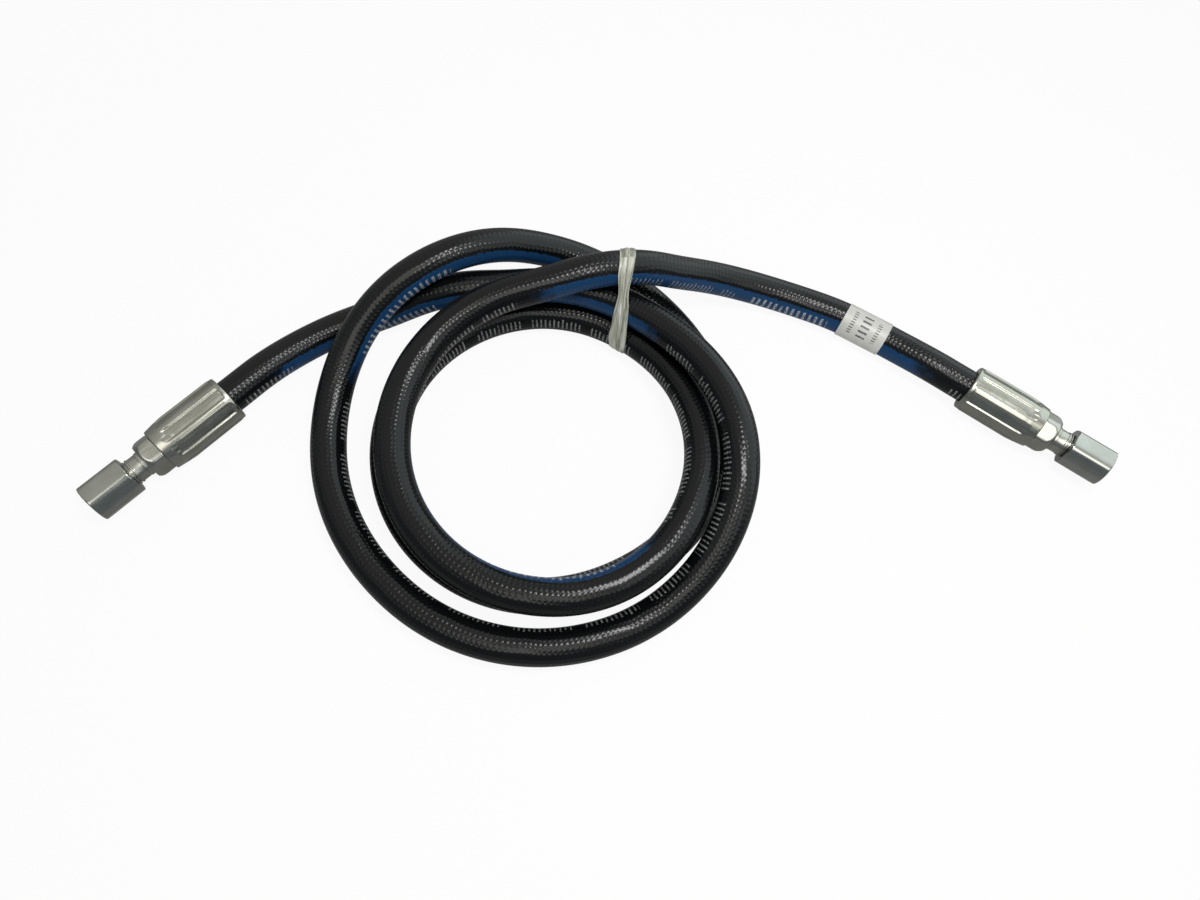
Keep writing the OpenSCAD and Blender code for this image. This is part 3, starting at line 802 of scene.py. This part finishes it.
class HOSE_OT_studio(bpy.types.Operator):
    """Camera, lights, world and floor"""

    bl_idname = "hose.studio"
    bl_label = "Studio"

    def execute(self, context):
        settings = context.scene.studio_settings
        place = context.scene.collection.objects.link
        lens = bpy.data.cameras.new("camera")
        lens.sensor_width = SENSOR_WIDTH
        lens.lens = FOCAL_LENGTH
        eye = bpy.data.objects.new("camera", lens)
        place(eye)
        ahead = Vector(CAMERA_AHEAD).normalized()
        right = Vector(CAMERA_RIGHT)
        right = (right - ahead * right.dot(ahead)).normalized()
        turn = Matrix((right, right.cross(ahead), -ahead)).transposed()
        eye.matrix_world = Matrix.Translation(CAMERA_AT) @ turn.to_4x4()
        context.scene.camera = eye
        context.scene.view_settings.view_transform = "Standard"
        for name, power, size, spot in LAMPS:
            lamp = bpy.data.lights.new(name, "AREA")
            lamp.energy = getattr(settings, power)
            lamp.size = size
            holder = bpy.data.objects.new(name, lamp)
            place(holder)
            holder.location = spot
            holder.rotation_euler = (-Vector(spot)).to_track_quat("-Z", "Y").to_euler()
        context.scene.world = studio_world(settings.world_level)
        paper_floor()
        return {"FINISHED"}


class HOSE_OT_hose(bpy.types.Operator):
    """Rubber cover, wire braid and inner tube along the whole route"""

    bl_idname = "hose.hose"
    bl_label = "Hose"

    def execute(self, context):
        sizes = context.scene.hose_sizes
        line, run = smooth_line(hose_stations(), sizes.step)
        outside = sizes.diameter / 2
        cover_bore = outside - sizes.cover_wall
        braid = cover_bore - sizes.layer_gap
        braid_bore = braid - sizes.braid_wall
        tube = braid_bore - sizes.layer_gap
        cover = hose_layer("hose_cover", line, run, outside, cover_bore, sides=36)
        cover.data.materials.append(wrapped_rubber())
        wires = hose_layer("hose_braid", line, run, braid, braid_bore, sides=16)
        wires.data.materials.append(
            zinc("braid_steel", (0.4, 0.4, 0.38), roughness=0.35, stain_size=600.0, lines=1.0))
        inner = hose_layer("hose_tube", line, run, tube, sizes.bore / 2, sides=16)
        inner.data.materials.append(plain_rubber("bore_rubber", (0.02, 0.02, 0.02)))
        for made in (cover, wires, inner):
            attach(made, "hose")
        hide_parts("hose_left_run", "hose_coil", "hose_right_run")
        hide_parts("wire_braid")
        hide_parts("inner_tube")
        return {"FINISHED"}


class HOSE_OT_ferrules(bpy.types.Operator):
    """Crimped ferrule on each end of the hose"""

    bl_idname = "hose.ferrules"
    bl_label = "Ferrules"

    def execute(self, context):
        sizes = context.scene.ferrule_sizes
        straight = sizes.length - sizes.taper
        ridge, face, band = sizes.ridge_diameter / 2, sizes.crimp_diameter / 2, sizes.mouth_diameter / 2
        shoulder, end = sizes.shoulder_diameter / 2, sizes.end_diameter / 2
        # The bore, its bevel at the mouth, and the narrower hole that locks on the stem, with its start
        bore, bevel, lock, lock_at = 0.0066, 0.0004, 0.0039, 0.0261
        outer = filleted([
            (0, bore + bevel, 0), (0, band, 0.0008), (sizes.band, band, 0), (straight - 0.002, band, 0),
            (straight, shoulder, 0.0008), (sizes.length, end, 0.0005), (sizes.length, lock, 0),
        ], "outer", longest=0.0003)
        inner = filleted([
            (sizes.length, lock, 0), (lock_at, lock, 0), (lock_at, bore, 0), (2 * bevel, bore, 0),
            (0, bore + bevel, 0),
        ], "bore", longest=0.002)[1:-1]
        # Ends of the ferrule that no die touches
        plain_mouth, plain_end = 0.0004, 0.0006
        # Where the dies end, how far their round ends reach beyond that, and how gently they run out
        near_end, far_end = 0.45 * sizes.band, straight + 0.002
        near_round, far_round = 0.0006, 0.0008
        near_fade, far_fade, lift_fade = 0.0014, 0.0035, 0.003
        # How deep the middle of a face is hollowed, how far from a ridge that starts, and a ridge's slope
        hollow, hollow_from, slope = 0.00012, 0.15, 0.5

        def shape(part, along, radius, angles):
            r = np.full_like(angles, radius)
            if part != "outer" or not plain_mouth < along < sizes.length - plain_end or radius < end:
                return r
            pitch = 2 * np.pi / sizes.dies
            away = np.abs(np.mod(angles + pitch / 2, pitch) - pitch / 2) * ridge
            middle = away / (pitch / 2 * ridge)
            crest = ease((sizes.ridge_width / 2 - away) / (slope * sizes.ridge_width / 2))
            pressed = face - hollow * ease((middle - hollow_from) / (1 - hollow_from))
            crimped = pressed + (ridge - pressed) * crest
            # The dies' round ends reach furthest in the middle of a face
            near = near_end - near_round * middle**2
            far = far_end + far_round * middle**2
            into = ease((along - near) / near_fade) * ease((far - along) / far_fade)
            lift = (ridge - band) * ease((straight - along) / lift_fade)
            return r + into * (lift + crimped - ridge)

        for side, turn in zip(SIDES, sizes.turns):
            made = turned(f"{side}_crimped_ferrule", side, outer + inner, 256, shape, turn)
            made.data.materials.append(
                zinc("ferrule_zinc", tuple(sizes.colour), roughness=0.24, stain_size=110.0, lines=0.5))
            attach(made, "hose")
            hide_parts(f"{side}_ferrule")
        return {"FINISHED"}


def hexagon_radii(across_flats):
    """Distance from a hexagon's axis to its corners, and that to the rim of its bevelled ends."""
    return across_flats / 2 / math.cos(math.pi / 6), across_flats / 2 * 0.97


class HOSE_OT_stems(bpy.types.Operator):
    """Stem with its hexagon, neck, journal and flare seat in each end"""

    bl_idname = "hose.stems"
    bl_label = "Stems"

    # Radius of the bore that the oil flows through, and where the tail starts along the axis
    flow = 0.002
    tail_at = 0.0073

    def tail_profile(self, hex_at):
        """The barbed tail inside the hose, and the collar and groove that the ferrule locks on."""
        tail, barb, barbs, barb_pitch = 0.00275, 0.00305, 6, 0.003
        collar, collar_at, collar_end, groove = 0.0046, 0.0253, 0.0258, 0.0038
        rows = [(self.tail_at, self.flow, 0), (self.tail_at, tail, 0)]
        for k in range(barbs):
            crest_at, foot_at = (self.tail_at + (k + share) * barb_pitch for share in (0.75, 0.8))
            rows += [(crest_at, barb, 0), (foot_at, tail, 0)]
        return rows + [
            (collar_at, tail, 0), (collar_at, collar, 0.0001), (collar_end, collar, 0.0001),
            (collar_end, groove, 0), (hex_at, groove, 0),
        ]

    def end_profile(self, neck_at, journal_at, neck, journal):
        """The neck with its two grooves, the journal, the head with its flare seat, and the bore."""
        shallow, deep, soft = neck - 0.00025, neck - 0.0005, 0.0001
        head, head_at, head_end, seat, seat_depth = 0.0047, 0.0449, 0.0503, 0.0043, 0.00305
        return [
            (neck_at + 0.0012, neck, 0), (neck_at + 0.0014, shallow, soft),
            (journal_at - 0.0017, shallow, soft), (journal_at - 0.0015, neck, soft),
            (journal_at - 0.0009, neck, soft), (journal_at - 0.0008, deep, soft),
            (journal_at - 0.0005, deep, soft), (journal_at - 0.0004, neck, soft),
            (journal_at, neck, soft), (journal_at, journal, 0),
            (head_at, journal, 0), (head_at, head, 0.0002), (head_end, head, 0.0002), (head_end, seat, 0),
            (head_end - seat_depth, self.flow, 0), (self.tail_at + 0.0002, self.flow, 0),
        ]

    def execute(self, context):
        sizes = context.scene.swivel_sizes
        wide, rim = hexagon_radii(sizes.across_flats)
        neck, bevel, corner, closer, blend = sizes.neck / 2, 0.0004, 0.0002, 0.0002, 0.00025
        hex_at, neck_at = sizes.hex_at - closer, sizes.hex_at + sizes.hex_length
        dome_at, drop = neck_at - sizes.dome, wide - sizes.dome_end / 2
        dome = [
            (dome_at + sizes.dome * share, wide - drop * (0.35 * share + 0.65 * share**3), 0)
            for share in np.linspace(0, 1, 9)
        ]
        body = [
            (hex_at, rim - bevel, 0), (hex_at, wide - bevel, corner), (hex_at + bevel, wide, corner),
            *dome, (neck_at, neck, 0.0003),
        ]
        end = self.end_profile(neck_at, neck_at + sizes.neck_length, neck, sizes.journal / 2)
        rows = filleted(self.tail_profile(hex_at), "tail", longest=0.004)
        rows += filleted(body, "hex", longest=0.0004)[1:] + filleted(end, "end", longest=0.002)

        def shape(part, along, radius, angles):
            r = np.full_like(angles, radius)
            return smooth_least(r, hexagon(sizes.across_flats, angles), blend) if part == "hex" else r

        for side, turn in zip(SIDES, sizes.stem_turns):
            made = turned(f"{side}_hex_stem", side, rows, 192, shape, turn)
            made.data.materials.append(
                zinc("stem_zinc", tuple(sizes.stem_colour), roughness=0.25, stain_size=130.0, lines=0.3))
            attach(made, "hose")
            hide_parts(f"{side}_stem")
        return {"FINISHED"}


class HOSE_OT_nuts(bpy.types.Operator):
    """Swivel nut on each stem, with its thread"""

    bl_idname = "hose.nuts"
    bl_label = "Nuts"

    def execute(self, context):
        sizes = context.scene.swivel_sizes
        start, end = sizes.nut_at, sizes.nut_at + sizes.nut_length
        wide, rim = hexagon_radii(sizes.across_flats)
        bevel = 1.3 * (wide - rim) * math.tan(math.radians(30))
        rounding, blend, corner, rim_corner = 0.0006, 0.0002, 0.0003, 0.0004
        # The lip that turns on the journal, the chamber behind it, and the bevelled mouth of the thread
        lip, lip_length, chamber, mouth, mouth_length = 0.00408, 0.002, 0.0053, 0.0057, 0.00077
        thread, thread_length, thread_rows = sizes.thread / 2, 0.0075, 96
        thread_depth, thread_fade = 0.0005, 0.0006
        thread_end = end - mouth_length
        thread_start = thread_end - thread_length
        outer = filleted([
            (start, lip, 0), (start, rim, rim_corner), (start + bevel, wide, corner),
            (end - bevel, wide, corner), (end, rim, rim_corner), (end, mouth, 0),
        ], "hex", longest=0.0008)
        threads = [(along, thread, "thread") for along in np.linspace(thread_end, thread_start, thread_rows)]
        inner = filleted([
            (thread_start, chamber, 0), (start + lip_length, chamber, 0), (start + lip_length, lip, 0),
        ], "plain", longest=0.003)

        def shape(part, along, radius, angles):
            r = np.full_like(angles, radius)
            if part == "hex":
                return smooth_least(r, hexagon(sizes.across_flats, angles, rounding), blend)
            if part == "thread":
                phase = np.mod((along - thread_start) / sizes.thread_pitch + angles / (2 * np.pi), 1)
                fade = min(1.0, (thread_end - along) / thread_fade, (along - thread_start) / thread_fade)
                return r + thread_depth * fade * (1 - np.abs(2 * phase - 1))
            return r

        for side, turn in zip(SIDES, sizes.nut_turns):
            made = turned(f"{side}_swivel_nut", side, outer + threads + inner, 192, shape, turn)
            made.data.materials.append(
                zinc("nut_zinc", tuple(sizes.nut_colour), roughness=0.2, stain_size=90.0, lines=0.15))
            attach(made, f"{side}_swivel")
            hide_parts(f"{side}_nut")
        return {"FINISHED"}


def hull_of(points):
    """Convex hull of points in a plane, turning left, without its last point repeated."""
    rows = sorted(map(tuple, points))

    def half(rows):
        kept = []
        for p in rows:
            while len(kept) > 1:
                (ax, ay), (bx, by) = kept[-2:]
                if (bx - ax) * (p[1] - ay) - (by - ay) * (p[0] - ax) > 0:
                    break
                kept.pop()
            kept.append(p)
        return kept[:-1]

    return np.array(half(rows) + half(rows[::-1]))


def bell(value, middle, width):
    """A soft hump of one at its middle."""
    return np.exp(-(((value - middle) / width) ** 2))


def film_width(sizes, shares, part):
    """How far across the tie the film lies, and how far it is drawn in, along its width and round the tie."""
    drawn = 1 - sizes.tie_waist / sizes.tie_width
    waist = 1 - drawn * bell(part, 0.115, 0.05)
    flare = 1 + 0.35 * bell(part, 0.29, 0.035) * np.clip(-shares, 0, 1)
    frayed = 1 + 0.05 * np.sin(2 * np.pi * 7 * part + 2 * shares) * np.abs(shares)
    return shares * waist * flare * frayed * sizes.tie_width / 2, waist


def film_folds(sizes, shares, part, waist):
    """Height of the film's folds, which run round the tie, sway, and stand higher where it is drawn in."""
    sway = 2 * np.pi * part
    broad = np.abs(np.sin(4.2 * shares + 1.3 * np.sin(3 * sway) + 0.4))
    narrow = np.abs(np.sin(7.5 * shares + 0.9 * np.sin(5 * sway + 1)))
    fine = np.sin(13 * shares + 2 * np.sin(2 * sway)) ** 2
    fold = 0.4 * broad + 0.35 * narrow + 0.25 * fine
    return sizes.tie_thickness * (0.35 + 2.2 * fold * (1 - 0.75 * shares**2)) * (1.35 - 0.35 * waist)


class HOSE_OT_tie(bpy.types.Operator):
    """Film tie round the strands at the top of the coil"""

    bl_idname = "hose.tie"
    bl_label = "Film tie"

    def strand_rims(self, line, centre, outward, along, shift, inside):
        """Points round each strand where it passes the tie's plane moved by a shift, as (outward, height)."""
        ways = unit_rows(np.gradient(line, axis=0))
        gap = (line - centre) @ along - shift
        near = np.abs((line - centre) @ outward) < TIE_REACH
        rounds = np.linspace(0, 2 * np.pi, 180, endpoint=False)[:, None]
        rims = []
        for i in np.nonzero((gap[:-1] * gap[1:] <= 0) & near[:-1])[0]:
            spot = line[i] + (line[i + 1] - line[i]) * gap[i] / (gap[i] - gap[i + 1])
            lean = ways[i] @ along
            level = ways[i] - along * lean
            level /= np.linalg.norm(level)
            upright = np.cross(along, level)
            rim = spot + inside * (np.cos(rounds) * level / abs(lean) + np.sin(rounds) * upright)
            rims.append(np.stack([(rim - centre) @ outward, rim[:, 2]], axis=1))
        return np.concatenate(rims)

    def section(self, rims, count):
        """As many points, evenly spaced, round all the strands, from the highest one on."""
        rim = hull_of(rims)
        rim = np.roll(rim, -int(np.argmax(rim[:, 1])), axis=0)
        rim = np.concatenate([rim, rim[:1]])
        run = length_run(rim)
        even = np.linspace(0, run[-1], count, endpoint=False)
        return np.stack([np.interp(even, run, rim[:, c]) for c in range(2)], axis=1)

    def execute(self, context):
        sizes = context.scene.wrap_sizes
        inside = context.scene.hose_sizes.diameter / 2 + sizes.wrap_gap
        way = math.radians(TIE_WAY)
        outward = np.array([math.cos(way), math.sin(way), 0])
        along = np.array([math.sin(way), -math.cos(way), 0])
        centre = coil_points([TIE_TURN])[0] * (1, 1, 0)
        line = smooth_line(hose_stations(), 0.0005)[0]
        count, across = 300, 25
        shares = np.linspace(-1, 1, across)[:, None]
        part = np.arange(count)[None, :] / count
        lateral, waist = film_width(sizes, shares, part)
        # Sections of the bundle over a little more than the film's width, and the film laid on them
        spread = 1.2 * sizes.tie_width
        sections = np.array([
            self.section(self.strand_rims(line, centre, outward, along, shift, inside), count)
            for shift in np.linspace(-spread / 2, spread / 2, across)
        ])
        place = np.clip((lateral / spread + 0.5) * (across - 1), 0, across - 1.001)
        low = place.astype(int)
        rest = (place - low)[..., None]
        k = np.broadcast_to(np.arange(count), low.shape)
        grid = sections[low, k] * (1 - rest) + sections[low + 1, k] * rest
        edge = np.roll(grid, -1, axis=1) - np.roll(grid, 1, axis=1)
        normal = unit_rows(np.stack([edge[..., 1], -edge[..., 0]], axis=-1))
        folds = film_folds(sizes, shares, part, waist)
        sheets = []
        for height in (folds, np.zeros_like(folds)):
            flat = grid + normal * height[..., None]
            upright = flat[..., 1:] * np.array([0, 0, 1])
            sheets.append(centre + flat[..., :1] * outward + upright + lateral[..., None] * along)
        ring = np.concatenate([sheets[0], sheets[1][::-1]])
        # The UV map runs round the bundle and across the film, in metres
        girth = 0.11
        levels = np.concatenate([shares[:, 0], shares[::-1, 0], shares[0]]) * sizes.tie_width / 2
        faces, corners = closed_grid(levels, np.arange(count + 1) * (girth / count), clockwise=True)
        made = mesh_object("film_tie", ring.reshape(-1, 3), faces, corners[..., ::-1], sharp=60)
        made.data.materials.append(stretch_film())
        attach(made, "hose")
        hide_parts("coil_tie")
        return {"FINISHED"}


class HOSE_OT_label(bpy.types.Operator):
    """Label wrapped round the hose near the right ferrule"""

    bl_idname = "hose.label"
    bl_label = "Label"

    def execute(self, context):
        sizes = context.scene.wrap_sizes
        hose = context.scene.hose_sizes.diameter / 2
        a, b = (np.array(p) + (0, 0, hose) for p in RIGHT_ROUTE[-2:])
        way = unit_rows(b - a)
        side = unit_rows(np.cross(way, (0, 0, 1)))
        up = np.cross(side, way)
        lengths, segments = 24, 96
        inside = hose + sizes.wrap_gap
        # The label is wound from the seam, and its print is centred on the line of the hose at the front
        seam, front = math.radians(210), math.radians(60)
        # From the seam on it is thicker by the lap, which thins out over this turn, in radians
        lap_height, lap_turn = 0.00012, 0.25
        levels = np.concatenate([np.ones(lengths), np.zeros(lengths)])
        shares = np.concatenate([np.linspace(-0.5, 0.5, lengths), np.linspace(0.5, -0.5, lengths)])
        turns = 2 * np.pi * np.arange(segments + 1) / segments
        lap = lap_height * np.clip(1 - turns[:-1] / lap_turn, 0, 1)
        rays = np.cos(seam + turns[:-1])[:, None] * side + np.sin(seam + turns[:-1])[:, None] * up
        along = shares * sizes.label_length
        rings = [
            (a + b) / 2 + place * way + (inside + level * (sizes.label_thickness + lap))[:, None] * rays
            for level, place in zip(levels, along)
        ]
        faces, corners = closed_grid(np.append(along, along[0]), (seam - front - 2 * np.pi + turns) * inside)
        made = mesh_object("hose_label", np.concatenate(rings), faces, corners)
        made.data.materials.append(label_paper())
        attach(made, "hose")
        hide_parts("id_label")
        line = smooth_line(hose_stations(), 0.004)[0]
        return {"FINISHED"}


class HOSE_PT_pieces(bpy.types.Panel):
    bl_label = "Hydraulic hose"
    bl_idname = "HOSE_PT_pieces"
    bl_space_type = "VIEW_3D"
    bl_region_type = "UI"
    bl_category = "Hose"

    def draw(self, context):
        for group in GROUPS:
            values = getattr(context.scene, group)
            box = self.layout.box()
            for key in values.bl_rna.properties.keys():
                if key not in ("name", "rna_type"):
                    box.prop(values, key)
        for operator in OPERATORS:
            self.layout.operator(operator.bl_idname)


OPERATORS = (
    HOSE_OT_studio, HOSE_OT_hose, HOSE_OT_ferrules, HOSE_OT_stems, HOSE_OT_nuts, HOSE_OT_tie, HOSE_OT_label,
)
GROUPS = {
    "studio_settings": StudioSettings, "hose_sizes": HoseSizes, "ferrule_sizes": FerruleSizes,
    "swivel_sizes": SwivelSizes, "wrap_sizes": WrapSizes,
}


def register():
    for kind in (*GROUPS.values(), *OPERATORS, HOSE_PT_pieces):
        bpy.utils.register_class(kind)
    for name, kind in GROUPS.items():
        setattr(bpy.types.Scene, name, bpy.props.PointerProperty(type=kind))


def unregister():
    for name in GROUPS:
        delattr(bpy.types.Scene, name)
    for kind in (HOSE_PT_pieces, *reversed(OPERATORS), *GROUPS.values()):
        bpy.utils.unregister_class(kind)


def main():
    register()
    bpy.ops.hose.studio()
    bpy.ops.hose.hose()
    bpy.ops.hose.ferrules()
    bpy.ops.hose.stems()
    bpy.ops.hose.nuts()
    bpy.ops.hose.tie()
    bpy.ops.hose.label()


if __name__ == "__main__":
    main()
